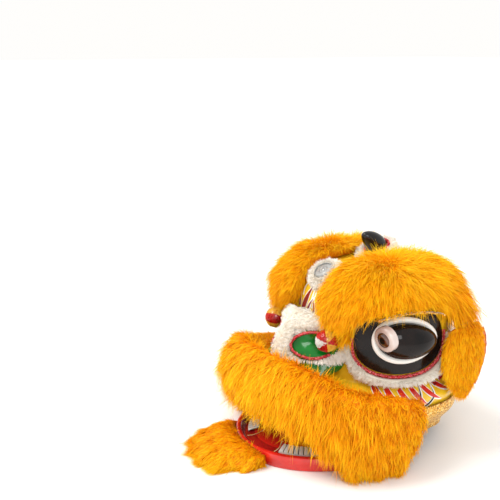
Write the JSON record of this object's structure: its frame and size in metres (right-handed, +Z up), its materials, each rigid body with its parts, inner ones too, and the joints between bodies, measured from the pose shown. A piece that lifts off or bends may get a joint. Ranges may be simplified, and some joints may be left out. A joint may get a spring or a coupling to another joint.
{
  "type": "lion dance costume head",
  "caption": "Lion dance costume head with deep fur brows, lip and beard, a painted shell, a moving mouth board, ears and eyelids, pompoms, a horn and a forehead mirror",
  "frame": {"origin": "middle of the footprint, on the floor that the head rests on", "axes": "-Y is where the lion faces, +X is its left side, +Z is up"},
  "size_m": [0.5704, 0.6606, 0.4954],
  "materials": {
    "fur": "long shaggy pile",
    "white_fur": "short soft pile",
    "lacquer_yellow": "laminated, painted and varnished",
    "gold_cloth": "metallic brocade",
    "black": "black lacquer",
    "white": "white gloss paint",
    "red": "red gloss paint",
    "red_braid": "sequin braid",
    "green": "green gloss paint",
    "iris": "gloss",
    "cup": "gloss",
    "mirror": "silvered",
    "metal": "pressed rim",
    "wood": "plain"
  },
  "bodies": {
    "head": {"head_shell": "lacquer_yellow", "neck_cloth": "gold_cloth", "lip_fur": "fur", "nose": "green", "nose_fur": "white_fur", "horn_fur": "white_fur", "horn_trim": "red_braid", "horn": "black", "crest_knob": "black", "mirror_fur": "white_fur", "mirror_rim": "metal", "mirror": "mirror", "brow_fur_left": "fur", "eye_plate_left": "black", "eye_ring_left": "white", "eye_bulb_left": "black", "pupil_cup_left": "cup", "iris_left": "iris", "eye_trim_left": "red_braid", "eye_fur_left": "white_fur", "nostril_trim_left": "red_braid", "pom_collar_left": "white", "pom_ball_left": "red", "jaw_pin_left": "wood", "brow_fur_right": "fur", "eye_plate_right": "black", "eye_ring_right": "white", "eye_bulb_right": "black", "pupil_cup_right": "cup", "iris_right": "iris", "eye_trim_right": "red_braid", "eye_fur_right": "white_fur", "nostril_trim_right": "red_braid", "pom_collar_right": "white", "pom_ball_right": "red", "jaw_pin_right": "wood", "ear_mount_left": "wood", "ear_mount_right": "wood"},
    "jaw": {"mouth_board": "red", "tongue": "red", "beard_fur": "fur", "teeth_left": "white", "teeth_right": "white", "jaw_arm_left": "wood", "jaw_arm_right": "wood"},
    "left_ear": {"ear_left": "fur", "ear_rim_left": "red_braid"},
    "right_ear": {"ear_right": "fur", "ear_rim_right": "red_braid"},
    "left_lid": {"eyelid_left": "gold_cloth"},
    "right_lid": {"eyelid_right": "gold_cloth"}
  },
  "joints": [
    {"name": "jaw_hinge", "type": "hinge", "parent": "head", "child": "jaw", "pos_m": [0, 0.1677, 0.142], "axis": [-1, 0, 0], "range_deg": [0, 8]},
    {"name": "left_ear_hinge", "type": "hinge", "parent": "head", "child": "left_ear", "pos_m": [0.216, 0.2397, 0.302], "axis": [0.1219, -0.9925, 0], "range_deg": [0, 35]},
    {"name": "right_ear_hinge", "type": "hinge", "parent": "head", "child": "right_ear", "pos_m": [-0.216, 0.2397, 0.302], "axis": [0.1219, 0.9925, 0], "range_deg": [0, 35]},
    {"name": "left_lid_hinge", "type": "hinge", "parent": "head", "child": "left_lid", "pos_m": [0.21641, 0.07636, 0.28341], "axis": [0.2423, 0.9702, 0], "range_deg": [0, 50], "stiffness_Nm_per_rad": 0.03, "springref_deg": -17.19},
    {"name": "right_lid_hinge", "type": "hinge", "parent": "head", "child": "right_lid", "pos_m": [-0.21641, 0.07636, 0.28341], "axis": [0.2423, -0.9702, 0], "range_deg": [0, 50], "stiffness_Nm_per_rad": 0.03, "springref_deg": -17.19}
  ]
}
